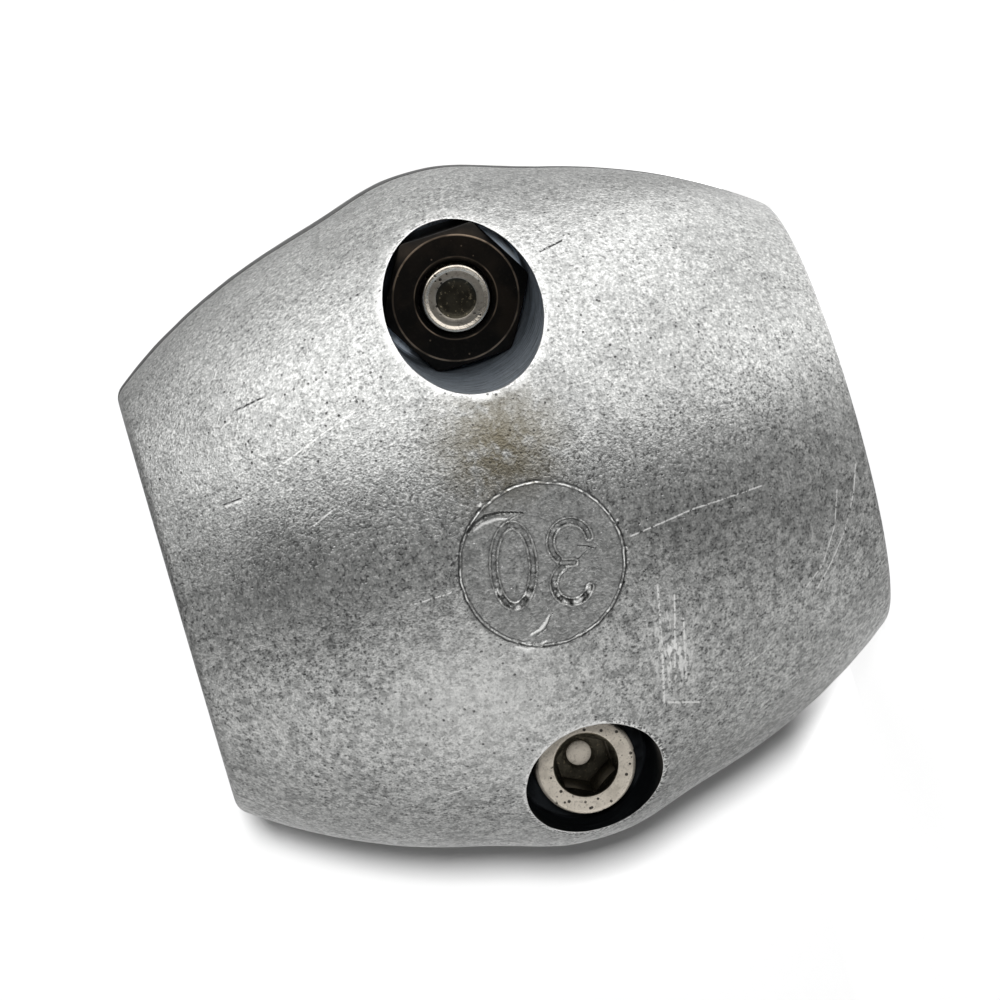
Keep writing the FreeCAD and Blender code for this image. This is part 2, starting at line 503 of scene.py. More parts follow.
def pad_marks(casting, x, z):
    """Height, dirt with painted shade, and shine of the marks in the pad, at places from its middle.

    The numerals are cut in with raised burrs, and the pad's edge carries flash. The dark lines in and
    beside the strokes, in the cuts and in the rings by the edge are dirt with painted shade; the shine
    on burrs, flash and the strokes' feet is bare metal with painted highlights.
    """
    flat = np.stack([x, z], axis=1)
    rough = ripple(np.stack([x, np.zeros_like(x), z], axis=1), 41, 0.35, 1.1)
    fine = ripple(np.stack([x, np.zeros_like(x), z], axis=1), 42, 0.2, 0.5)

    # Upright axes of the numerals, which stand upside down and a little askew
    tilt = math.radians(12.2)
    right = np.array([math.sin(tilt), math.cos(tilt)])
    up = np.array([-math.cos(tilt), math.sin(tilt)])
    reading = np.stack([flat @ right, flat @ up], axis=1)
    stroke = 0.33
    away = np.full(len(flat), 9.0)
    for line in numeral_lines():
        away = np.minimum(away, distance_to_line(reading, line * casting.numeral)[0])
    inside = smooth((stroke - away) / 0.10)
    foot = smooth((reading[:, 1] - 1.6) / 1.2)
    height = inside * (-0.17 + (0.05 + 0.14 * foot) * rough)
    burr = np.exp(-((away - stroke + 0.02) / 0.065) ** 2)
    edge = np.exp(-((away - stroke - 0.13) / 0.06) ** 2)
    edge += np.exp(-((away - stroke + 0.14) / 0.06) ** 2)
    height += burr * (0.06 + 0.03 * rough + 0.05 * foot)
    # Dirt and painted shade in the strokes and along both their edges; painted highlights on the
    # burrs.
    dirt_and_shade = inside * (0.12 + 0.25 * smooth(-1.2 * rough) + 0.45 * foot * smooth(-1.6 * fine))
    dirt_and_shade += edge * (0.70 + 0.30 * fine)
    broken = smooth(0.7 + 0.9 * fine + 0.4 * rough)
    shine = burr * broken * (0.62 + 0.3 * foot) + inside * foot * smooth(1.8 * rough) * 0.9

    # Flash round the edge, lumpy where metal ran into the joint of the mould, with painted highlights
    # on its ridge and lumps and painted shade in the rings beside it
    distance = np.hypot(x, z)
    angle = np.arctan2(z, x)
    wander = 0.05 * ring_noise(angle, 43, 4, 60)
    flash = 0.06 + 0.05 * ring_noise(angle, 44, 6, 90)
    lumps = 0.0
    for degrees, reach, tall in PAD_LUMPS:
        gap = (np.degrees(angle) - degrees + 180) % 360 - 180
        lumps = lumps + tall * np.exp(-(gap / reach) ** 2)
    ridge = np.exp(-((distance - casting.pad - wander) / 0.06) ** 2)
    blob = np.exp(-((distance - casting.pad - 0.12) / 0.26) ** 2) * np.maximum(rough + 0.2, 0)
    height += ridge * np.maximum(flash, 0.02) + blob * lumps
    dashes = smooth(0.5 + 1.1 * ring_noise(angle, 45, 20, 120))
    shine += ridge * 0.3 * dashes + blob * lumps * 2.2 * smooth(2.5 * fine)
    moat = np.exp(-((distance - casting.pad - 0.19 - wander) / 0.10) ** 2)
    moat += 0.7 * np.exp(-((distance - casting.pad + 0.15) / 0.09) ** 2)
    height -= 0.05 * moat
    dirt_and_shade += 0.45 * moat * (0.8 + 0.3 * rough) + blob * lumps * 3.5 * smooth(-2.5 * fine)

    # A gouge inside the rim darkened with painted shade, a cut below it with painted highlights on its
    # burrs, hair cracks and pinholes
    for line, width, deep, dark in PAD_CUTS:
        off, along = distance_to_line(flat, line)
        cut = smooth(1.5 * (1 - off / (width * (1.3 - along))))
        height -= cut * deep
        dirt_and_shade += cut * dark
    for line, width, tall in PAD_BURRS:
        off, along = distance_to_line(flat, line)
        edge = np.exp(-(off / (0.4 * width + 0.6 * width * np.sin(math.pi * along))) ** 2)
        height += tall * edge
        shine += 1.2 * edge
    inner_gouge, _ = distance_to_line(flat, PAD_GOUGE)
    dirt_and_shade += 0.4 * smooth(1.3 - inner_gouge / 0.35)
    for pit_x, pit_z in PAD_PITS:
        dirt_and_shade += 0.8 * np.exp(-np.hypot(x - pit_x, z - pit_z) ** 2 / 0.09 ** 2)
    return height, np.clip(dirt_and_shade, 0, 1), np.clip(shine, 0, 1)


def pad_y(casting, x, z):
    """Y of the crown pad and the skin round it, at places in the XZ plane."""
    skin = casting.skin_y(x, z)
    step = smooth((casting.pad + 0.12 - np.hypot(x, z - casting.mid)) / 0.24)
    return skin + (casting.pad_face - skin) * step


def skin_patch(work, casting, shares, travels, loops, holes):
    """The barrel's outer skin between its edges, with holes left in it."""
    stretch = math.pi / 2 * casting.waist
    candidates = []
    for row, travel in enumerate(travels[1:-1]):
        inner = shares[1:-1] if row % 2 else (shares[:-1] + shares[1:]) / 2
        candidates.append(np.stack([inner, np.full(len(inner), travel)], axis=1))
    candidates = np.vstack(candidates)
    radius, height = casting.outline(candidates[:, 1])
    place = casting.across(radius, height, candidates[:, 0])
    keep = np.ones(len(candidates), bool)
    for x, reach in holes:
        away = np.hypot(place[:, 0] - x, place[:, 2] - casting.mid)
        angle = np.arctan2(place[:, 2] - casting.mid, place[:, 0] - x)
        rim = np.interp(angle % FULL_TURN, *reach, period=FULL_TURN)
        keep &= away > rim + 0.5 * casting.spacing
    candidates = candidates[keep] * (stretch, 1)

    border = [(share * stretch, travels[0]) for share in shares[:-1]]
    border += [(stretch, travel) for travel in travels[:-1]]
    border += [(share * stretch, travels[-1]) for share in shares[:0:-1]]
    border += [(-stretch, travel) for travel in travels[:0:-1]]
    flat_loops = [np.array(border)]
    for loop in loops:
        share = casting.share(loop[:, 0], loop[:, 2])
        flat_loops.append(np.stack([share * stretch, casting.travel(loop[:, 2])], axis=1))
    flat, triangles = triangulated(candidates, flat_loops)
    radius, height = casting.outline(flat[:, 1])
    points = casting.across(radius, height, flat[:, 0] / stretch)
    middle = flat[triangles].mean(axis=1)
    solid = np.ones(len(triangles), bool)
    for loop in flat_loops[1:]:
        solid &= ~within(middle, loop)
    work.add(points, triangles[solid], 0)


def pocket_patch(work, casting, x, radius, seed, finish):
    """A pocket's worn rim, wall and floor and its screw hole.

    Returns the loop where it meets the skin, and the loop's reach by angle.
    """
    angles = np.linspace(0, FULL_TURN, RIM_STEPS, endpoint=False)
    cos = np.cos(angles)
    sin = np.sin(angles)
    chips = ring_chips(angles, seed, 16, 0.07)
    wear = 0.12 + 0.04 * ring_noise(angles, seed + 1, 5, 40) + 0.07 * chips
    wear = np.maximum(wear, 0.05)
    drop = 0.16 + 0.05 * ring_noise(angles, seed + 2, 5, 40) + 0.10 * chips
    drop = np.maximum(drop, 0.06)

    def on_skin(reach):
        px = x + reach * cos
        pz = casting.mid + reach * sin
        return np.stack([px, casting.skin_y(px, pz), pz], axis=1)

    def on_wall(reach, y):
        return np.stack([x + reach * cos, y, casting.mid + reach * sin], axis=1)

    outer = on_skin(radius + wear)
    corner = on_skin(radius)
    low = on_wall(radius, corner[:, 1] + drop)
    rows = []
    for share in np.linspace(0, 1, 6):
        rows.append(
            (1 - share) ** 2 * outer
            + 2 * share * (1 - share) * corner
            + share ** 2 * low
        )
    work.grid(rows, finish=0, ring=True)

    # Wall, rounded root, floor, countersink and screw hole
    root = 0.35
    sink = 0.25
    floor = -casting.seat
    rows = []
    for share in np.linspace(0, 1, 22):
        y = low[:, 1] + share * (floor - root - low[:, 1])
        rows.append(on_wall(radius, y))
    for turn in np.linspace(0, math.pi / 2, 5)[1:]:
        inward = root * (1 - math.cos(turn))
        y = floor - root + root * math.sin(turn)
        rows.append(on_wall(radius - inward, np.full(RIM_STEPS, y)))
    for reach in np.linspace(radius - root, casting.hole + sink, 9)[1:]:
        rows.append(on_wall(reach, np.full(RIM_STEPS, floor)))
    for y in np.linspace(floor + sink, -casting.gap, 12):
        rows.append(on_wall(casting.hole, np.full(RIM_STEPS, y)))
    work.grid(rows, finish=finish, ring=True)
    return outer, (angles, radius + wear)


def pad_patch(work, casting):
    """The round pad on the crown with its marks; returns the loop and its reach."""
    angles = np.linspace(0, FULL_TURN, RIM_STEPS, endpoint=False)
    outer = casting.pad + PAD_SKIRT
    loop = np.stack([outer * np.cos(angles), outer * np.sin(angles)], axis=1)
    inner = []
    for step, reach in enumerate(np.arange(casting.pad - 0.45, outer - 0.1, RING_SPACING)):
        count = 440 if reach < outer - 0.25 else 320
        turn = (np.arange(count) + 0.5 * (step % 2)) * 2 * math.pi / count
        inner.append(np.stack([reach * np.cos(turn), reach * np.sin(turn)], axis=1))
    ticks = np.arange(-casting.pad, casting.pad, PAD_SPACING)
    across, up = np.meshgrid(ticks, np.arange(-casting.pad, casting.pad, PAD_SPACING * 0.866))
    across = across + (np.arange(len(across)) % 2)[:, None] * PAD_SPACING / 2
    field = np.stack([across.ravel(), up.ravel()], axis=1)
    field = field[np.linalg.norm(field, axis=1) < casting.pad - 0.5]
    flat, triangles = triangulated(np.vstack([*inner, field]), [loop])
    x = flat[:, 0]
    z = flat[:, 1] + casting.mid
    height, _, _ = pad_marks(casting, x, flat[:, 1])
    fade = smooth((outer - np.hypot(x, flat[:, 1])) / 0.3)
    y = pad_y(casting, x, z) - height * fade
    work.add(np.stack([x, y, z], axis=1), triangles, 0)
    rim_z = loop[:, 1] + casting.mid
    rim = np.stack([loop[:, 0], casting.skin_y(loop[:, 0], rim_z), rim_z], axis=1)
    return rim, (angles, np.full(RIM_STEPS, outer))


def half_shell(casting, seed):
    """One casting, its front facing -Y, as a bmesh in millimetres."""
    work = Patchwork()
    loops = []
    holes = []
    for index, (x, radius) in enumerate(casting.pockets):
        loop, reach = pocket_patch(work, casting, x, radius, seed + 10 * index, index + 1)
        loops.append(loop)
        holes.append((x, reach))
    loop, reach = pad_patch(work, casting)
    loops.append(loop)
    holes.append((0.0, reach))

    steps = round(math.pi * casting.waist / casting.spacing)
    shares = np.linspace(-1, 1, steps + 1)
    ends = casting.round_run
    middle = np.linspace(ends, casting.run - ends, round(casting.run / casting.spacing))
    low = np.linspace(0, ends, 6)
    travels = np.concatenate([low[:-1], middle, casting.run - low[-2::-1]])
    skin_patch(work, casting, shares, travels, loops, holes)

    # Broken edges along the parting plane, then the end faces and the bore
    insets = [0.0, 0.3 * casting.edge, casting.edge]
    lifts = [casting.edge, 0.45 * casting.edge, casting.gap]
    radius, height = casting.outline(travels)
    for side in (-1.0, 1.0):
        rows = [
            casting.across(radius, height, side, inset, lift)
            for inset, lift in zip(insets, lifts)
        ]
        work.grid(rows)
    mouth = casting.bore + casting.bore_edge
    for z in (0.0, casting.length):
        face = []
        for inset, lift in zip(insets, lifts):
            face.append(casting.across(casting.end_radius, z, shares, inset, lift))
        for reach in np.linspace(casting.end_radius - casting.edge, mouth, 9)[1:]:
            face.append(casting.across(reach, z, shares, 0.0, casting.gap))
        work.grid(face)
    levels = np.linspace(casting.bore_edge, casting.length - casting.bore_edge, 60)
    turns = math.pi / 2 + shares * (math.pi / 2 - math.asin(casting.gap / casting.bore))
    bore_x = casting.bore * np.cos(turns)
    bore_y = -casting.bore * np.sin(turns)
    rows = [casting.across(mouth, 0.0, shares, 0.0, casting.gap)]
    for z in levels:
        rows.append(np.stack([bore_x, bore_y, np.full(len(shares), z)], axis=1))
    rows.append(casting.across(mouth, casting.length, shares, 0.0, casting.gap))
    work.grid(rows)

    made = work.bmesh()
    open_edges = [edge for edge in made.edges if edge.is_boundary]
    bmesh.ops.triangle_fill(made, edges=open_edges, use_beauty=True, normal=(0, 1, 0))
    return made


def uneven(casting, made, seed):
    """Gives the cast skin its slight waviness."""
    bmesh.ops.recalc_face_normals(made, faces=made.faces)
    points = np.array([vert.co for vert in made.verts])
    normals = np.array([vert.normal for vert in made.verts])
    middle = np.clip(points[:, 2], casting.rounding, casting.length - casting.rounding)
    deep = casting.radius(middle)
    wide = deep + casting.swelling(middle)
    out = np.hypot(points[:, 0] / wide, points[:, 1] / deep)
    weight = smooth((out - 0.90) / 0.08) * smooth((-points[:, 1] - 0.2) / 2.0)
    wave = 0.040 * ripple(points, seed, 6.0, 22.0) + 0.010 * ripple(points, seed + 1, 1.6, 4.0)
    moved = points + normals * (weight * wave)[:, None]
    moved[:, 2] = np.clip(moved[:, 2], 0.0, casting.length)
    for vert, place in zip(made.verts, moved):
        vert.co = place


def marks_and_shade_layers(casting, piece, turned):
    """Writes the dirt with painted shade and the shine with painted highlights of the pad's marks and
    rim to the mesh, point by point.
    """
    mesh = piece.data
    count = len(mesh.vertices)
    points = np.zeros(count * 3, np.float32)
    mesh.vertices.foreach_get("co", points)
    points = points.reshape(-1, 3).astype(float) / MM
    if turned:
        points[:, :2] *= -1
    x = points[:, 0]
    z = points[:, 2] - casting.mid
    dirt_and_shade = np.zeros(count)
    shine = np.zeros(count)
    on_pad = np.hypot(x, z) < casting.pad + PAD_SKIRT
    on_pad &= points[:, 1] < casting.pad_face + 1.2
    _, marks, burrs = pad_marks(casting, x[on_pad], z[on_pad])
    dirt_and_shade[on_pad] = marks
    shine[on_pad] = burrs
    pad = np.zeros(count)
    pad[on_pad] = smooth((casting.pad - np.hypot(x, z)[on_pad]) / 0.2)
    for name, values in (("dirt_and_shade", dirt_and_shade), ("shine", shine), ("pad", pad)):
        layer = mesh.attributes.new(name, "FLOAT", "POINT")
        layer.data.foreach_set("value", np.clip(values, 0, 1).astype(np.float32))


# Fasteners, upright on Z = 0

def hexagon(angles, across_flats, limit=1e9):
    """Distance from the axis to a hexagon's side, with a corner on angle 0."""
    from_flat = (angles % SIXTH_TURN) - SIXTH_TURN / 2
    return np.minimum(across_flats / 2 / np.cos(from_flat), limit)


def spun(work, rings, angles, finish, closed=False):
    """Rings of (radius, height) about Z; each may change with the angle."""
    rows = []
    for radius, height in rings:
        radius, height = np.broadcast_arrays(radius, height, angles)[:2]
        rows.append(np.stack([radius * np.cos(angles), radius * np.sin(angles), height], axis=1))
    if closed:
        rows.append(rows[0])
    work.grid(rows, finish, ring=True)
    return rows


def hex_nut(sizes):
    """The nut, its top face bevelled and countersunk."""
    flats = sizes.nut_across_flats / MM
    face = sizes.nut_face_dia / 2 / MM
    mouth = sizes.nut_mouth_dia / 2 / MM
    bore = sizes.thread_dia / 2 / MM + 0.1
    lip = mouth - 0.4
    top = sizes.nut_height / MM
    corner = flats / 2 / math.cos(math.pi / 6)
    steps = np.linspace(0, 2 * math.pi, 6 * 28, endpoint=False)
    side = hexagon(steps, flats, corner - 0.10)
    slope = math.tan(math.radians(30))
    soft = 0.05
    bevel = (side - face) * slope
    rings = [
        (bore, 0.35),
        (bore, top * 0.5),
        (bore, top - 1.0),
        (lip, top - 0.7),
        (lip, top - 0.4),
        (mouth - soft, top - soft),
        (mouth + soft * 0.5, top),
    ]
    for reach in np.linspace(mouth, face - soft, 12)[1:]:
        rings.append((reach, top))
    rings.append((face, top - soft * 0.2))
    for share in np.linspace(0, 1, 7)[1:-1]:
        rings.append((face + share * (side - face), top - share * bevel))
    rings.append((side - soft, top - bevel + soft * slope))
    rings.append((side, top - bevel - soft))
    for share in np.linspace(0, 1, 8)[1:-1]:
        rings.append((side, top - bevel - share * (top - 2 * bevel)))
    rings.append((side, bevel + soft))
    rings.append((side - soft, bevel - soft * slope))
    rings.append((face, 0.0))
    rings.append((mouth, 0.0))
    work = Patchwork()
    spun(work, rings, steps, 0, closed=True)
    return work.bmesh(join=0.0005)


def socket_screw(sizes):
    """The screw, its head above Z = 0 and its threaded shank below."""
    head = sizes.head_dia / 2 / MM
    top = sizes.head_height / MM
    flats = sizes.socket_across_flats / MM
    mouth = sizes.socket_mouth_dia / 2 / MM
    floor = top - sizes.socket_depth / MM
    crest = sizes.thread_dia / 2 / MM
    core = sizes.core_dia / 2 / MM
    pitch = sizes.pitch / MM
    tip = -sizes.screw_length / MM
    flat = sizes.tip_flat_dia / 2 / MM
    neck = sizes.tip_neck_dia / 2 / MM
    dish = sizes.tip_dish_dia / 2 / MM
    thread_start = tip + 1.3
    thread_end = -0.9
    neck_end = -0.3
    angles = np.linspace(0, FULL_TURN, 6 * 20, endpoint=False)
    work = Patchwork()

    # Dished tip with a ridge round it, then the neck
    rings = [(0.3 * dish, tip + 0.40), (0.7 * dish, tip + 0.38), (0.88 * dish, tip + 0.33)]
    rings += [(0.96 * dish, tip + 0.24), (dish, tip + 0.17)]
    cap_row = spun(work, rings, angles, 4)[0]
    work.cap(cap_row, 4)
    rings = [(dish, tip + 0.17), (dish + 0.04, tip + 0.14), (0.5 * (dish + flat), tip + 0.14)]
    rings += [(flat - 0.04, tip + 0.14), (flat, tip + 0.13)]
    spun(work, rings, angles, 1)
    ridge = 0.5 * (flat + neck) + 0.04
    rings = [(flat, tip + 0.13), (flat + 0.08, tip + 0.10), (ridge - 0.07, tip + 0.015)]
    rings += [(ridge, tip), (ridge + 0.04, tip + 0.01)]
    for turn in np.linspace(0, math.pi / 2, 7)[1:]:
        rings.append((
            ridge + 0.04 + (neck - ridge - 0.04) * math.sin(turn),
            tip + 0.01 + 0.36 * (1 - math.cos(turn)),
        ))
    rings += [(neck, tip + 0.9), (neck, thread_start)]
    spun(work, rings, angles, 5)

    # Threaded shank, up to the head
    grooves = []
    for z in np.arange(thread_start, thread_end - 0.1, pitch / 11):
        phase = (z / pitch - angles / FULL_TURN) % 1.0
        tooth = np.clip((1 - np.abs(2 * phase - 1)) * 1.5 - 0.25, 0, 1)
        reach = core + (crest - core) * tooth
        reach = np.minimum(reach, neck + (z - thread_start) * 0.95)
        grooves.append((reach, z))
    grooves.append((crest, thread_end))
    grooves.append((crest, neck_end))
    spun(work, grooves, angles, 1)

    # Head, then the socket in it
    rings = [(crest, neck_end), (crest + 0.25, -0.04), (crest + 0.35, 0.0)]
    rings += [(head - 0.12, 0.0), (head, 0.12)]
    for z in np.linspace(0.12, top - 0.32, 10)[1:]:
        rings.append((head, z))
    rings += [(head - 0.03, top - 0.2), (head - 0.12, top - 0.08), (head - 0.26, top - 0.01)]
    for reach in np.linspace(head - 0.3, mouth + 0.07, 8):
        rings.append((reach, top))
    spun(work, rings, angles, 0)
    socket = hexagon(angles, flats)
    rings = [(mouth + 0.07, top), (mouth, top - 0.03)]
    for share in np.linspace(0, 1, 6)[1:]:
        rings.append((mouth + share * (socket - mouth), top - 0.03 - share * (mouth - socket)))
    lead = top - 0.03 - (mouth - socket)
    for share in np.linspace(0, 1, 9)[1:]:
        rings.append((socket, lead + share * (floor - lead)))
    spun(work, rings, angles, 2)
    rings = [(socket, floor), (socket * 0.75, floor - 0.05), (socket * 0.3 + 0.85, floor - 0.14)]
    rings += [(1.26, floor - 0.22), (1.20, floor - 0.26)]
    spun(work, rings, angles, 2)
    rings = [(1.20, floor - 0.26), (1.16, floor - 0.20), (1.08, floor - 0.15), (0.7, floor - 0.14)]
    cap_row = spun(work, rings, angles, 3)[-1]
    work.cap(cap_row, 3)
    return work.bmesh(join=0.0005)


def seated(x, turned, turn, sizes):
    """Placement of a fastener on a pocket floor, its top facing out."""
    facing = Matrix(((0, 1, 0, 0), (0, 0, -1, 0), (-1, 0, 0, 0), (0, 0, 0, 1)))
    seat = Matrix.Translation((x, -sizes.seat_height, sizes.body_length / 2))
    placement = seat @ facing @ Matrix.Rotation(turn, 4, "Z")
    if turned:
        placement = Matrix.Rotation(math.pi, 4, "Z") @ placement
    return placement


# Finishes

class Link:
    """A socket in a material, for writing maths on it as plain expressions."""

    def __init__(self, finish, socket):
        self.finish = finish
        self.socket = socket

    @property
    def many(self):
        return self.socket.type in ("VECTOR", "RGBA")

    def _with(self, operation, first, second):
        if any(isinstance(part, Link) and part.many for part in (first, second)):
            parts = [part if isinstance(part, (Link, tuple)) else (part,) * 3
                     for part in (first, second)]
            return self.finish.node(
                "ShaderNodeVectorMath", {"operation": operation}, {0: parts[0], 1: parts[1]}
            )
        return self.finish.node(
            "ShaderNodeMath", {"operation": operation}, {0: first, 1: second}
        )

    def __add__(self, other):
        return self._with("ADD", self, other)

    def __radd__(self, other):
        return self._with("ADD", other, self)

    def __sub__(self, other):
        return self._with("SUBTRACT", self, other)

    def __rsub__(self, other):
        return self._with("SUBTRACT", other, self)

    def __mul__(self, other):
        return self._with("MULTIPLY", self, other)

    def __rmul__(self, other):
        return self._with("MULTIPLY", other, self)

    def __truediv__(self, other):
        return self._with("DIVIDE", self, other)

    def __pow__(self, other):
        return self._with("POWER", self, other)

    def __abs__(self):
        return self.finish.node("ShaderNodeMath", {"operation": "ABSOLUTE"}, {0: self})

    def over(self, low, high):
        """0 at low, 1 at high, with a smooth rise between."""
        return self.finish.node(
            "ShaderNodeMapRange",
            {"interpolation_type": "SMOOTHSTEP"},
            {"Value": self, "From Min": low, "From Max": high},
        )


class Finish:
    """One material, written as expressions on its sockets."""

    def __init__(self, name, owner=None):
        self.material = owner or bpy.data.materials.new(name)
        self.material.use_nodes = True
        self.tree = self.material.node_tree
        self.tree.nodes.clear()

    def node(self, kind, settings=None, sockets=None, output=0):
        """Adds a node: its settings first, then the values or links of its sockets."""
        made = self.tree.nodes.new(kind)
        for name, value in (settings or {}).items():
            setattr(made, name, value)
        for key, value in (sockets or {}).items():
            socket = made.inputs[key]
            if isinstance(value, Link):
                self.tree.links.new(value.socket, socket)
            elif socket.type == "RGBA" and len(value) == 3:
                socket.default_value = (*value, 1.0)
            else:
                socket.default_value = value
        return Link(self, made.outputs[output])

    def vector(self, operation, first, second=(0.0, 0.0, 0.0)):
        """A number from two vectors, such as their DISTANCE or DOT_PRODUCT."""
        return self.node(
            "ShaderNodeVectorMath",
            {"operation": operation},
            {0: first, 1: second},
            output="Value",
        )

    def ray(self, kind):
        """1 for rays of a kind, such as Camera or Glossy, and 0 for others."""
        return self.node("ShaderNodeLightPath", output=f"Is {kind} Ray")

    def blend(self, factor, first, second):
        """From one shader to another."""
        return self.node("ShaderNodeMixShader", {}, {0: factor, 1: first, 2: second})

    def flat(self, across, up):
        """A vector in the XZ plane."""
        return self.node("ShaderNodeCombineXYZ", {}, {0: across, 2: up})

    def place(self):
        """The place on the piece, in millimetres."""
        return self.node("ShaderNodeTexCoord", output="Object") * (1 / MM)

    def noise(self, place, size, detail=2.0, roughness=0.5, stretch=(1.0, 1.0, 1.0)):
        """Soft noise whose features are about size millimetres wide."""
        return self.node(
            "ShaderNodeTexNoise",
            {"noise_dimensions": "3D"},
            {
                "Vector": place * tuple(part / size for part in stretch),
                "Scale": 1.0,
                "Detail": detail,
                "Roughness": roughness,
            },
        )

    def mix(self, factor, first, second):
        """From one colour to another."""
        return self.node(
            "ShaderNodeMix",
            {"data_type": "RGBA", "clamp_factor": True},
            {0: factor, 6: first, 7: second},
            output=2,
        )

    def layer(self, name):
        """A value that the mesh carries point by point."""
        return self.node(
            "ShaderNodeAttribute",
            {"attribute_type": "GEOMETRY", "attribute_name": name},
            output="Fac",
        )

    def spot(self, place, centre, reach):
        """1 at a place on the piece, falling to 0 at its reach."""
        return 1.0 - self.vector("DISTANCE", place, centre).over(0.0, reach)

    def dots(self, place, spacing, reach):
        """1 at round dots about a spacing apart, falling to 0 at their reach."""
        away = self.node(
            "ShaderNodeTexVoronoi",
            {"feature": "F1", "voronoi_dimensions": "3D"},
            {"Vector": place, "Scale": 1.0 / spacing},
            output="Distance",
        )
        return away.over(reach / spacing, 0.4 * reach / spacing)

    def parts(self, vector):
        """The three parts of a vector."""
        made = self.node("ShaderNodeSeparateXYZ", {}, {0: vector})
        return [Link(self, socket) for socket in made.socket.node.outputs]

    def most(self, first, *others):
        """The largest of some values."""
        for other in others:
            first = self.node("ShaderNodeMath", {"operation": "MAXIMUM"}, {0: first, 1: other})
        return first

    def scratch(self, flat, line, width):
        """1 along a line of (x, z) places, thin at its sides."""
        marks = []
        for start, end in zip(line, line[1:]):
            start = np.array((start[0], 0.0, start[1]))
            span = np.array((end[0], 0.0, end[1])) - start
            size = float(np.linalg.norm(span))
            way = tuple(span / size)
            from_start = flat - tuple(start)
            along = self.vector("DOT_PRODUCT", from_start, way)
            held = self.node("ShaderNodeClamp", {}, {"Value": along, "Min": 0.0, "Max": size})
            nearest = self.node(
                "ShaderNodeVectorMath", {"operation": "SCALE"}, {0: way, "Scale": held}
            )
            away = self.vector("DISTANCE", from_start, nearest)
            marks.append(away.over(width, 0.3 * width))
        return self.most(*marks)

    def scratches(self, flat, lines):
        """1 along each of some lines, given with their widths."""
        return self.most(*[self.scratch(flat, line, width) for line, width in lines])

    def surface(self, **sockets):
        """The piece's surface; names of sockets are written with underscores."""
        named = {key.replace("_", " "): value for key, value in sockets.items()}
        return self.end(self.node("ShaderNodeBsdfPrincipled", {}, named))

    def end(self, shader, kind="ShaderNodeOutputMaterial"):
        """Ends the material in a shader, and returns the material."""
        out = self.tree.nodes.new(kind)
        self.tree.links.new(shader.socket, out.inputs["Surface"])
        return self.material

    def bump(self, height, depth):
        """A normal from a height of 0 to 1 that stands for depth millimetres."""
        return self.node(
            "ShaderNodeBump", {}, {"Height": height, "Strength": 1.0, "Distance": depth * MM}
        )


# Marks on the skin as lines of (across, up) places and a width, in millimetres
BRIGHT_SCRATCHES = [
    ([(0.16, 24.3), (0.65, 18.1), (0.41, 11.2)], 0.11),
    ([(-2.8, 4.0), (-6.0, 5.1), (-9.1, 7.1), (-11.2, 10.0)], 0.09),
    ([(-1.3, 1.5), (-3.7, 2.4), (-6.8, 4.1), (-9.3, 6.2), (-11.2, 8.1)], 0.11),
    ([(-5.0, 23.1), (-12.4, 24.3), (-16.7, 25.0), (-18.0, 21.8)], 0.16),
    ([(-6.5, 21.8), (-13.8, 23.4)], 0.13),
    ([(-9.0, 21.5), (-15.0, 22.5)], 0.12),
    ([(-17.4, 20.8), (-15.0, 13.3)], 0.09),
    ([(14.1, 53.0), (15.9, 48.7), (17.2, 45.0)], 0.09),
    ([(11.6, 58.7), (11.9, 57.0)], 0.12),
    ([(8.5, 51.6), (9.5, 49.5)], 0.10),
    ([(-0.4, 44.8), (-0.2, 41.4)], 0.09),
    ([(-20.4, 46.3), (-19.6, 42.0)], 0.09),
]
DARK_SCRATCHES = [
    ([(25.6, 24.3), (25.8, 22.0)], 0.12),
    ([(19.3, 55.4), (20.0, 52.4)], 0.12),
    ([(11.8, 58.8), (12.1, 57.1)], 0.09),
]


def rim_marks(finish, sizes, place, across, z, patches):
    """Bare metal with painted glints and a painted bright line along the edge, and dark chips, round
    the rims of both pockets.
    """
    nut_side = across.over(-1.0, 1.0)
    small = sizes.head_pocket_dia / 2 / MM
    radius = small + nut_side * (sizes.nut_pocket_dia / 2 / MM - small)
    aside = abs(across) - sizes.screw_offset / MM
    above = z - sizes.body_length / MM / 2
    rim = (aside * aside + above * above) ** 0.5 - radius
    flicker = finish.noise(place + 23.0, 0.30, 2.0)
    below = (above.over(4.0, -5.0) + aside.over(-3.5, 5.0)).over(0.3, 1.2)
    # Worn bare metal, with painted glints and a painted highlight along the edge itself.
    bare_rim_and_glints = finish.most(
        rim.over(0.95, 0.25) * (0.25 + 0.75 * patches) * (0.40 + 0.55 * nut_side),
        rim.over(0.45, 0.20) * flicker.over(0.46, 0.54),
        rim.over(0.20, 0.10) * (0.55 + 0.45 * patches),
        rim.over(0.42, 0.24) * flicker.over(0.49, 0.54) * below * (1.0 - nut_side),
    )
    chips = rim.over(0.75, 0.40) * rim.over(0.04, 0.12) * flicker.over(0.50, 0.44)
    return bare_rim_and_glints, chips * (1.0 - 0.6 * nut_side) * below


def pad_flash(finish, sizes, place, flat):
    """Beads of flash round the pad with painted highlights, and the thin dark lines beside them,
    painted as shade.
    """
    from_pad = finish.vector("DISTANCE", flat, (0.0, 0.0, sizes.body_length / MM / 2))
    sway = finish.noise(place + 17.0, 1.3, 2.0)
    off_pad = from_pad - sizes.pad_dia / 2 / MM + (0.5 - sway) * 0.35
    beads = finish.noise(place + 31.0, 0.75, 1.0)
    bead = abs(off_pad).over(0.10, 0.03) * beads.over(0.49, 0.57)
    edge_shade = finish.most(
        abs(off_pad - 0.15).over(0.13, 0.05),
        abs(off_pad + 0.14).over(0.10, 0.04) * 0.7,
    )
    return bead, edge_shade


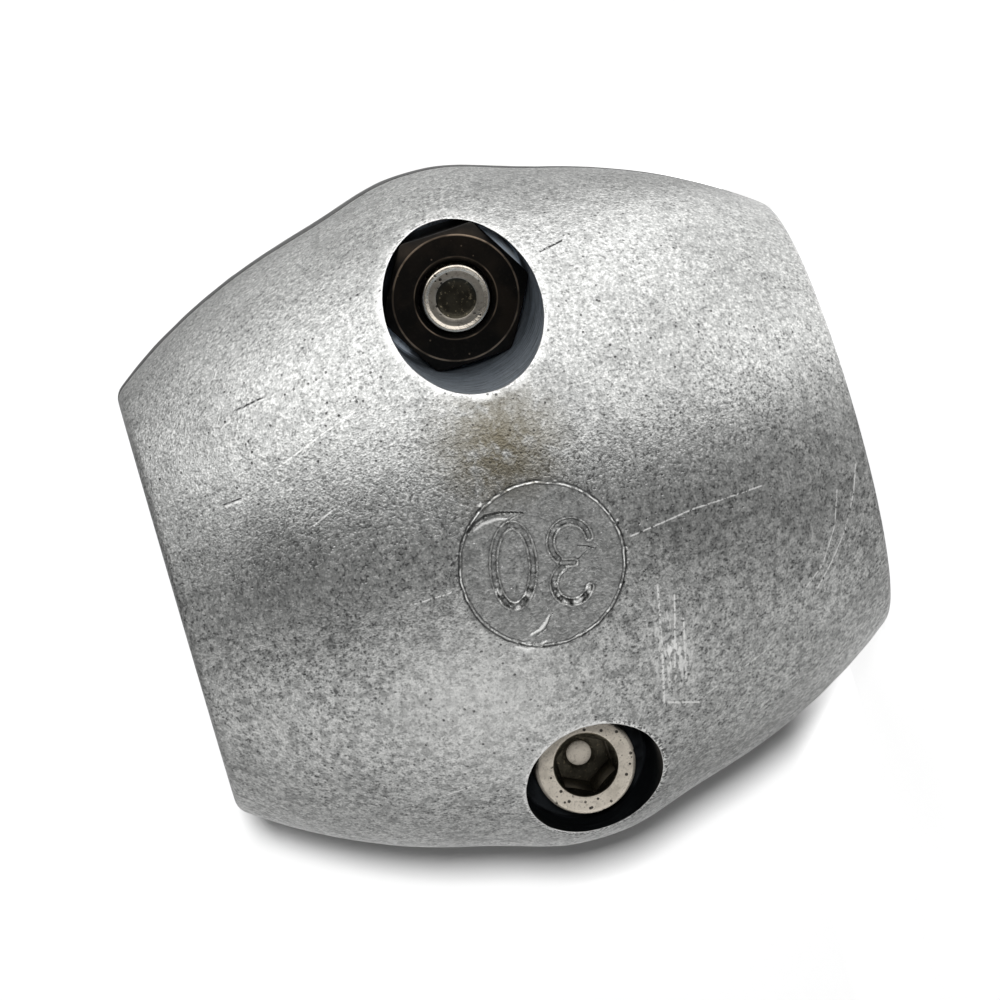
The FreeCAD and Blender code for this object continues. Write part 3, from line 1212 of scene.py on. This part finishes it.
def cast_zinc(colours, sizes, name):
    """Grey satin zinc as cast: pebbled grain, pinholes, stains and scratches, with painted highlights
    and painted shade at the rims, the pad and the parting line.
    """
    finish = Finish(name)
    place = finish.place()
    x, y, z = finish.parts(place)
    grain = finish.noise(place, 0.38, 2.0, 0.65)
    fine = finish.noise(place + 11.0, 0.21, 1.0)
    mottle = finish.noise(place, 1.7, 3.0, 0.6)
    cloud = finish.noise(place + 5.0, 8.0, 2.0)
    patches = finish.noise(place + 2.0, 1.6, 2.0).over(0.38, 0.56)
    pebble = grain * 0.6 + fine * 0.4
    zinc = tuple(colours.zinc)
    dull = tuple(colours.zinc_dark)
    bright_zinc = tuple(colours.zinc_bare)
    grime_and_shade = (0.035, 0.036, 0.036)

    # The back casting is the front one turned, with its marks upside down
    back = y.over(-0.01, 0.01)
    facing = 1.0 - back * 2.0
    across = x * facing
    up = z * facing + back * (sizes.body_length / MM)
    flat = finish.flat(across, up)
    bare_rim_and_glints, chips = rim_marks(finish, sizes, place, across, z, patches)
    bead, edge_shade = pad_flash(finish, sizes, place, flat)

    # Scratches, broken up by the grain
    broken = mottle.over(0.30, 0.48) * grain.over(0.36, 0.48)
    marks = finish.scratches(flat, BRIGHT_SCRATCHES)
    hatch = finish.noise(place, 0.45, 2.0, stretch=(0.12, 1.0, 1.0)).over(0.47, 0.60)
    scuff = finish.spot(flat * (0.40, 1.0, 1.0), (-4.9, 0.0, 23.2), 3.2) * hatch
    marks = finish.most(marks * broken * 0.8, scuff * 0.9)
    gashes = finish.scratches(flat, DARK_SCRATCHES)

    # Holes in the grain; the dark joint where the two shells meet, with a wide band of painted shade
    # beside it on one side, and a painted highlight (lip) along the parting edge on the other
    pinholes = finish.dots(place, 0.85, 0.16) * mottle.over(0.40, 0.58)
    lapped = across.over(-6.0, -12.0)
    joint_and_shade = finish.most(abs(y).over(0.30, 0.16), abs(y).over(3.6, 1.6) * lapped)
    # Painted highlight along the parting edge.
    lip = abs(y).over(0.75, 0.45) * (1.0 - lapped) * patches

    # Grain, blotches and stains
    worn = finish.noise(place + 41.0, 5.0, 3.0, 0.6)
    deep = (0.72 + 0.28 * worn.over(0.40, 0.60)) * (1.0 - 0.25 * across.over(6.0, 16.0))
    blotch = finish.noise(place + 13.0, 0.9, 2.0, 0.6)
    blotched = 0.4 + 0.6 * across.over(10.0, -4.0)
    tone = finish.mix(pebble.over(0.49, 0.37) * deep, zinc, dull)
    tone = finish.mix(pebble.over(0.51, 0.62) * 0.80, tone, bright_zinc)
    tone = finish.mix(blotch.over(0.49, 0.37) * blotched * 0.42, tone, dull)
    tone = finish.mix(blotch.over(0.52, 0.64) * blotched * 0.30, tone, bright_zinc)
    tone = finish.mix(mottle.over(0.50, 0.72) * 0.28, tone, dull)
    tone = finish.mix(cloud.over(0.45, 0.75) * 0.20, tone, dull)
    dark_patch = finish.spot(flat, (6.0, 0.0, 56.0), 9.0)
    pale_patch = finish.spot(flat, (-11.0, 0.0, 41.0), 13.0)
    tone = finish.mix(dark_patch * 0.35, tone, dull)
    tone = finish.mix(pale_patch * 0.35, tone, bright_zinc)
    stain = finish.spot(flat, (11.0, 0.0, 33.6), 8.5) * mottle.over(0.25, 0.55)
    tone = finish.mix(stain * 0.85, tone, tuple(colours.stain))

    pad = finish.layer("pad")
    tone = finish.mix(pad * 0.35, tone, zinc)
    # Painted highlights on the pad, the rims and the parting edge join the bright scratches; painted
    # shade along the seam and in the pad's recesses joins the dirt, chips and pinholes.
    shine = finish.most(finish.layer("shine"), bare_rim_and_glints, marks, lip * 0.8, bead)
    dirt_and_shade = finish.most(
        finish.layer("dirt_and_shade") * 0.85 + pinholes * 0.75 * (1.0 - pad),
        chips * 0.85,
        gashes * grain.over(0.38, 0.50),
        finish.most(joint_and_shade, edge_shade) * 0.85,
    )
    tone = finish.mix(shine * 0.95, tone, bright_zinc)
    tone = finish.mix(dirt_and_shade, tone, grime_and_shade)
    return finish.surface(
        Base_Color=tone,
        Metallic=0.945 - shine * 0.42,
        Roughness=0.26 + grain * 0.12 + mottle * 0.06,
        Normal=finish.bump(pebble - pinholes * 0.6, 0.11),
    )


def tinted(tint, level):
    """A colour at a share of its brightness."""
    return tuple(part * level for part in tint)


def pocket_zinc(colours, name, floor, wall):
    """Dull zinc in a pocket, turned in fine rings, at the levels of its floor and wall; these levels
    paint light and shade into the pocket.
    """
    finish = Finish(name)
    place = finish.place()
    y = finish.parts(place)[1]
    grain = finish.noise(place, 0.4, 3.0, 0.6)
    rings = finish.noise(place, 1.0, 3.0, 0.6, stretch=(0.25, 4.0, 0.25))
    smears = finish.noise(place + 9.0, 1.0, 2.0, 0.6, stretch=(0.6, 1.2, 0.6))
    low = abs(y).over(9.9, 9.4)
    tint = tuple(colours.pocket)
    # Floor and wall are the same zinc at different brightness: painted light and shade.
    tone = finish.mix(low, tinted(tint, wall), tinted(tint, floor))
    streak = rings.over(0.52, 0.64) * smears.over(0.40, 0.58) * wall
    tone = finish.mix(streak * 0.7, tone, (0.60, 0.66, 0.72))
    scored = rings.over(0.48, 0.38) * 0.75
    tone = finish.mix(scored, tone, tinted(tint, 0.12 * wall))
    tone = finish.mix(grain.over(0.52, 0.68) * 0.35, tone, tinted(tint, 0.2 * wall))
    return finish.surface(
        Base_Color=tone,
        Metallic=0.72,
        Roughness=0.38 + grain * 0.15,
        Normal=finish.bump(grain * 0.5 + rings, 0.03),
    )


def screw_steel(colours, name, level=1.0, roughness=0.30, metallic=1.0):
    """Warm grey steel of the screw's head and tip, at a share of its brightness; the share paints
    light and shade into each part.
    """
    finish = Finish(name)
    place = finish.place()
    grain = finish.noise(place, 0.25, 3.0, 0.6)
    cloud = finish.noise(place, 1.5, 3.0)
    steel = tinted(colours.steel, level)
    tone = finish.mix(cloud.over(0.45, 0.75) * 0.3, steel, tuple(colours.socket))
    tone = finish.mix(grain.over(0.48, 0.36) * 0.5, tone, tinted(steel, 0.5))
    patch = finish.noise(place + 31.0, 2.6, 1.0).over(0.52, 0.58)
    pits = finish.dots(place + 7.0, 0.60, 0.20).over(0.1, 0.6) * patch
    tone = finish.mix(pits * 0.9, tone, (0.01, 0.009, 0.008))
    return finish.surface(
        Base_Color=tone,
        Metallic=metallic,
        Roughness=roughness + grain * 0.12,
        Normal=finish.bump(grain - pits, 0.03),
    )


def dark_brown_steel(colours, name, level=1.0):
    """Dark brown steel inside the screw's socket, painted as the shade in it, with painted golden
    glints.
    """
    finish = Finish(name)
    place = finish.place()
    grain = finish.noise(place, 0.35, 3.0, 0.6)
    film = finish.noise(place + 4.0, 1.3, 2.0)
    base = tinted(colours.socket, level)
    tone = finish.mix(film.over(0.40, 0.65) * 0.6, base, tinted(base, 0.35))
    # Painted golden glints on the grain.
    tone = finish.mix(grain.over(0.58, 0.72) * 0.5, tone, (0.50, 0.42, 0.28))
    return finish.surface(
        Base_Color=tone,
        Metallic=1.0,
        Roughness=0.24 + grain * 0.2,
        Normal=finish.bump(grain, 0.05),
    )


def dark_nut(colours, sizes, name):
    """Blackened steel with bronze shine on its worn edges."""
    finish = Finish(name)
    place = finish.place()
    grain = finish.noise(place, 0.3, 3.0, 0.6)
    film = finish.noise(place + 8.0, 3.5, 2.0)
    away = finish.vector("LENGTH", place * (1.0, 1.0, 0.0))
    face = sizes.nut_face_dia / 2 / MM
    mouth = sizes.nut_mouth_dia / 2 / MM
    line = away.over(face - 0.14, face - 0.04) * away.over(face + 0.11, face + 0.02)
    line = line * (0.35 + 0.65 * finish.noise(place, 2.4, 2.0).over(0.42, 0.60))
    ring = away.over(mouth - 0.07, mouth) * away.over(mouth + 0.12, mouth + 0.03)
    ring = ring * (0.2 + 0.8 * finish.noise(place + 6.0, 3.0, 1.0).over(0.42, 0.58))
    worn = line + ring * 0.6
    specks = finish.dots(place + 3.0, 1.3, 0.12)
    tone = finish.mix(film.over(0.45, 0.70) * 0.5, tuple(colours.nut), (0.040, 0.030, 0.022))
    tone = finish.mix(grain.over(0.5, 0.7) * 0.3, tone, (0.03, 0.025, 0.02))
    tone = finish.mix(worn + specks * 0.5, tone, tuple(colours.nut_edge))
    return finish.surface(
        Base_Color=tone,
        Metallic=0.95,
        Roughness=0.30 + grain * 0.12,
        Normal=finish.bump(grain, 0.02),
    )


# The studio room as the metal mirrors it: lights by their direction, where they
# begin and are full (as the cosine of the angle off that direction), and strength
ROOM_SIDES = [
    ((1.0, 0.0, -0.26), 0.26, 0.57, 1.0),
    ((1.0, 0.0, -0.26), 0.72, 0.95, 0.42),
    ((-1.0, 0.0, 0.0), 0.05, 0.70, 0.48),
    ((0.0, 0.0, -1.0), 0.2, 0.8, 0.13),
    ((0.0, 0.0, -1.0), 0.6, 0.95, 0.26),
    ((1.0, 0.0, -0.26), 0.84, 0.97, 0.22),
    ((1.0, 0.0, 1.0), 0.64, 0.90, 0.56),
    ((-0.62, -0.76, 0.10), 0.80, 1.0, 0.12),
    ((-1.0, 0.0, 1.0), 0.5, 0.9, 0.21),
    ((0.62, 0.60, -0.50), 0.72, 1.0, -0.42),
    ((0.50, -0.20, -0.84), 0.92, 0.985, -0.24),
    ((-0.50, -0.50, -0.65), 0.75, 1.0, -0.10),
]
ROOM_ENDS = [
    ((0.19, -0.98, 0.065), 0.0, 0.8, 0.165),
    ((0.15, -0.85, 0.50), 0.80, 1.0, -0.05),
    ((0.0, 1.0, 0.0), 0.4, 0.95, 0.35),
]


def room_light(finish, direction):
    """How bright the studio room is in a direction, as the metal mirrors it.

    A large window on the side of +X is bright with a clear edge, the walls and
    the table give plain light, and the place of the camera is dark.
    """
    def towards(way):
        return finish.vector("DOT_PRODUCT", direction, tuple(Vector(way).normalized()))

    def lit(lights):
        total = 0.0
        for way, begins, full, strength in lights:
            total = towards(way).over(begins, full) * strength + total
        return total

    behind = towards((0.0, 1.0, 0.0))
    beside = behind.over(0.0, 0.5) - behind.over(0.6, 0.95)
    return lit(ROOM_SIDES) * (1.0 - 0.48 * beside) + lit(ROOM_ENDS)


def stage_surface(finish, shown, rest):
    """What the camera sees of a stage piece, and what all else sees."""
    return finish.blend(finish.ray("Camera"), rest, shown)


def seen_pale(finish, gain, glow, glow_colour=WHITE):
    """A pale surface under the camera's eye: near white, with its shadows kept."""
    return finish.node(
        "ShaderNodeBsdfPrincipled",
        {},
        {
            "Base Color": (gain, gain, gain),
            "Roughness": 1.0,
            "Specular IOR Level": 0.0,
            "Emission Color": glow_colour,
            "Emission Strength": glow,
        },
    )


def pale_floor(colours, settings, name):
    """Plain pale floor; the metal mirrors it as bright as the room beyond it."""
    finish = Finish(name)
    finish.material.cycles.emission_sampling = "NONE"
    diffuse = finish.node("ShaderNodeBsdfDiffuse", {}, {"Color": tuple(colours.floor)})
    from_middle = finish.node("ShaderNodeTexCoord", output="Object") - MIDDLE
    direction = finish.node("ShaderNodeVectorMath", {"operation": "NORMALIZE"}, {0: from_middle})
    room = room_light(finish, direction)
    glow = finish.node("ShaderNodeEmission", {}, {"Color": WHITE, "Strength": room})
    rest = finish.blend(finish.ray("Glossy") + finish.ray("Transmission"), diffuse, glow)
    seen = seen_pale(finish, settings.floor_gain, settings.floor_glow)
    return finish.end(stage_surface(finish, seen, rest))


def shadow_card(settings, name):
    """Pale backdrop that only the camera sees, and only from its front."""
    finish = Finish(name)
    finish.material.cycles.emission_sampling = "NONE"
    back = finish.node("ShaderNodeNewGeometry", output="Backfacing")
    clear = finish.node("ShaderNodeBsdfTransparent")
    low = finish.parts(finish.place())[2].over(9.0, 0.0)
    fade = finish.node("ShaderNodeCombineColor", {}, {0: low, 1: low, 2: low})
    seen = seen_pale(finish, settings.card_gain, settings.floor_glow, fade)
    return finish.end(stage_surface(finish, finish.blend(back, seen, clear), clear))


# Operators

class ANODE_OT_half_shells(bpy.types.Operator):
    """Cast both half shells with their pockets, pads and skin"""

    bl_idname = "anode.half_shells"
    bl_label = "Cast Half Shells"

    def execute(self, context):
        scene = context.scene
        casting = Casting(scene.anode_shell)
        colours = scene.anode_colours
        finishes = [
            cast_zinc(colours, scene.anode_shell, "cast_zinc_skin"),
            # The nut pocket's floor is painted lighter as light, the screw pocket nearly black as
            # shade.
            pocket_zinc(colours, "nut_pocket_zinc_painted_light", 1.9, 0.95),
            pocket_zinc(colours, "screw_pocket_zinc_painted_shade", 0.05, 0.05),
        ]
        for side, node in enumerate(("front_half_shell", "back_half_shell")):
            made = half_shell(casting, 100 + 50 * side)
            uneven(casting, made, 7 + 3 * side)
            if side:
                bmesh.ops.rotate(
                    made, verts=made.verts, matrix=Matrix.Rotation(math.pi, 3, "Z")
                )
            piece = as_object(made, node.replace("half_shell", "casting"), finishes)
            marks_and_shade_layers(casting, piece, bool(side))
            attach(piece, "root")
            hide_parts(node)
        return {"FINISHED"}


class ANODE_OT_hex_nuts(bpy.types.Operator):
    """Make both hexagon nuts and seat them in their pockets"""

    bl_idname = "anode.hex_nuts"
    bl_label = "Seat Hex Nuts"

    def execute(self, context):
        scene = context.scene
        sizes = scene.anode_fasteners
        shell = scene.anode_shell
        finish = dark_nut(scene.anode_colours, sizes, "blackened_nut")
        for side, node in enumerate(("front_hex_nut", "back_hex_nut")):
            placement = seated(shell.screw_offset, bool(side), sizes.nut_turn, shell)
            name = node.replace("hex_nut", "dark_nut")
            piece = as_object(hex_nut(sizes), name, [finish], placement)
            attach(piece, "root")
            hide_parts(node)
        return {"FINISHED"}


class ANODE_OT_socket_screws(bpy.types.Operator):
    """Make both socket screws and seat them in their pockets"""

    bl_idname = "anode.socket_screws"
    bl_label = "Seat Socket Screws"

    def execute(self, context):
        scene = context.scene
        sizes = scene.anode_fasteners
        shell = scene.anode_shell
        colours = scene.anode_colours
        # One steel at several brightness levels: the head, the socket's pin and the ring at the tip
        # are painted lighter as highlights, and the tip and its dish darker as shade.
        finishes = [
            screw_steel(colours, "screw_head_steel_painted_light", 1.35, 0.30, 0.75),
            screw_steel(colours, "screw_tip_steel_painted_shade", 0.72, 0.30),
            dark_brown_steel(colours, "dark_brown_steel"),
            screw_steel(colours, "socket_pin_steel_painted_highlight", 1.30, 0.35, 0.68),
            dark_brown_steel(colours, "tip_dish_painted_shade", 0.40),
            screw_steel(colours, "screw_neck_steel_painted_highlight", 1.5, 0.12),
        ]
        for side, node in enumerate(("front_socket_screw", "back_socket_screw")):
            placement = seated(-shell.screw_offset, bool(side), sizes.socket_turn, shell)
            name = node.replace("socket_screw", "clamping_screw")
            piece = as_object(socket_screw(sizes), name, finishes, placement)
            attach(piece, "root")
            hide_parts(node)
        return {"FINISHED"}


def lamp(name, place, size, power):
    """A soft square lamp; the metal mirrors the room instead of it."""
    data = bpy.data.lights.new(name, "AREA")
    data.shape = "RECTANGLE"
    data.size = size
    data.size_y = size
    data.energy = power
    made = bpy.data.objects.new(name, data)
    made.location = place
    direction = Vector(MIDDLE) - Vector(place)
    made.rotation_euler = direction.to_track_quat("-Z", "Y").to_euler()
    made.visible_glossy = False
    bpy.context.scene.collection.objects.link(made)
    return made


def panel(name, corners, finish):
    """A flat stage panel between four corners."""
    mesh = bpy.data.meshes.new(name)
    mesh.from_pydata(corners, [], [(0, 1, 2, 3)])
    mesh.materials.append(finish)
    made = bpy.data.objects.new(name, mesh)
    bpy.context.scene.collection.objects.link(made)
    return made


def studio_world(scene, settings):
    """The room: white to the camera, and uneven where the metal mirrors it."""
    world = bpy.data.worlds.new("studio_room")
    world.use_nodes = True
    world.cycles.sampling_method = "NONE"
    scene.world = world
    room = Finish("studio_room", world)
    glossy = room.ray("Glossy")
    camera = room.ray("Camera")
    through = room.ray("Transmission")
    direction = room.node("ShaderNodeTexCoord", output="Generated")
    plain = 1.0 - glossy - camera - through
    strength = camera + through + glossy * room_light(room, direction) + plain * settings.room_level
    sky = room.node("ShaderNodeBackground", {}, {"Color": WHITE, "Strength": strength})
    room.end(sky, "ShaderNodeOutputWorld")


def aimed_camera(settings):
    """The camera, rolled so that the shaft lies across the picture."""
    data = bpy.data.cameras.new("studio_camera")
    data.lens = settings.lens
    data.sensor_width = 36.0
    data.clip_start = 0.01
    camera = bpy.data.objects.new("studio_camera", data)
    place = Vector(settings.camera_place)
    ahead = (Vector(settings.camera_aim) - place).normalized()
    level_right = ahead.cross(Vector((1, 0, 0))).normalized()
    level_up = level_right.cross(ahead)
    cos = math.cos(settings.camera_roll)
    sin = math.sin(settings.camera_roll)
    right = level_right * cos + level_up * sin
    up = level_up * cos - level_right * sin
    camera.matrix_world = Matrix((
        (right.x, up.x, -ahead.x, place.x),
        (right.y, up.y, -ahead.y, place.y),
        (right.z, up.z, -ahead.z, place.z),
        (0, 0, 0, 1),
    ))
    bpy.context.scene.collection.objects.link(camera)
    return camera


class ANODE_OT_stage(bpy.types.Operator):
    """Set up the floor, backdrop, lamps and camera"""

    bl_idname = "anode.stage"
    bl_label = "Set Up Stage"

    def execute(self, context):
        scene = context.scene
        settings = scene.anode_stage
        colours = scene.anode_colours
        floor = pale_floor(colours, settings, "pale_floor")
        card = shadow_card(settings, "pale_backdrop")
        far = STAGE_REACH
        back = BACKDROP_Y
        panel("floor", [(-far, -far, 0), (far, -far, 0), (far, far, 0), (-far, far, 0)], floor)
        panel("backdrop", [(-far, back, 0), (far, back, 0), (far, back, far), (-far, back, far)], card)
        lamp("front_lamp", (0.30, -1.0, 0.10), 0.08, settings.key_power)
        lamp("top_lamp", (0.30, -0.10, 1.0), 0.4, settings.fill_power)
        studio_world(scene, settings)
        scene.camera = aimed_camera(settings)
        scene.view_settings.view_transform = "Standard"
        return {"FINISHED"}


class ANODE_PT_sidebar(bpy.types.Panel):
    """Sizes, colours and steps of the anode"""

    bl_idname = "ANODE_PT_sidebar"
    bl_label = "Shaft Anode"
    bl_space_type = "VIEW_3D"
    bl_region_type = "UI"
    bl_category = "Anode"

    def draw(self, context):
        scene = context.scene
        for group in ("anode_shell", "anode_fasteners", "anode_colours", "anode_stage"):
            box = self.layout.box()
            owner = getattr(scene, group)
            for name in owner.__annotations__:
                box.prop(owner, name)
        for step in STEPS:
            self.layout.operator(step.bl_idname)


GROUPS = {
    "anode_shell": ShellSizes,
    "anode_fasteners": FastenerSizes,
    "anode_colours": AnodeColours,
    "anode_stage": StageSettings,
}
STEPS = [
    ANODE_OT_half_shells,
    ANODE_OT_hex_nuts,
    ANODE_OT_socket_screws,
    ANODE_OT_stage,
]


def register():
    """Adds the sizes, the steps and the sidebar to Blender."""
    for kind in [*GROUPS.values(), *STEPS, ANODE_PT_sidebar]:
        bpy.utils.register_class(kind)
    for name, kind in GROUPS.items():
        setattr(bpy.types.Scene, name, PointerProperty(type=kind))


def unregister():
    """Takes them away again."""
    for name in GROUPS:
        delattr(bpy.types.Scene, name)
    for kind in reversed([*GROUPS.values(), *STEPS, ANODE_PT_sidebar]):
        bpy.utils.unregister_class(kind)


def main():
    """Makes every piece and the stage."""
    register()
    bpy.ops.anode.half_shells()
    bpy.ops.anode.hex_nuts()
    bpy.ops.anode.socket_screws()
    bpy.ops.anode.stage()


if __name__ == "__main__":
    main()
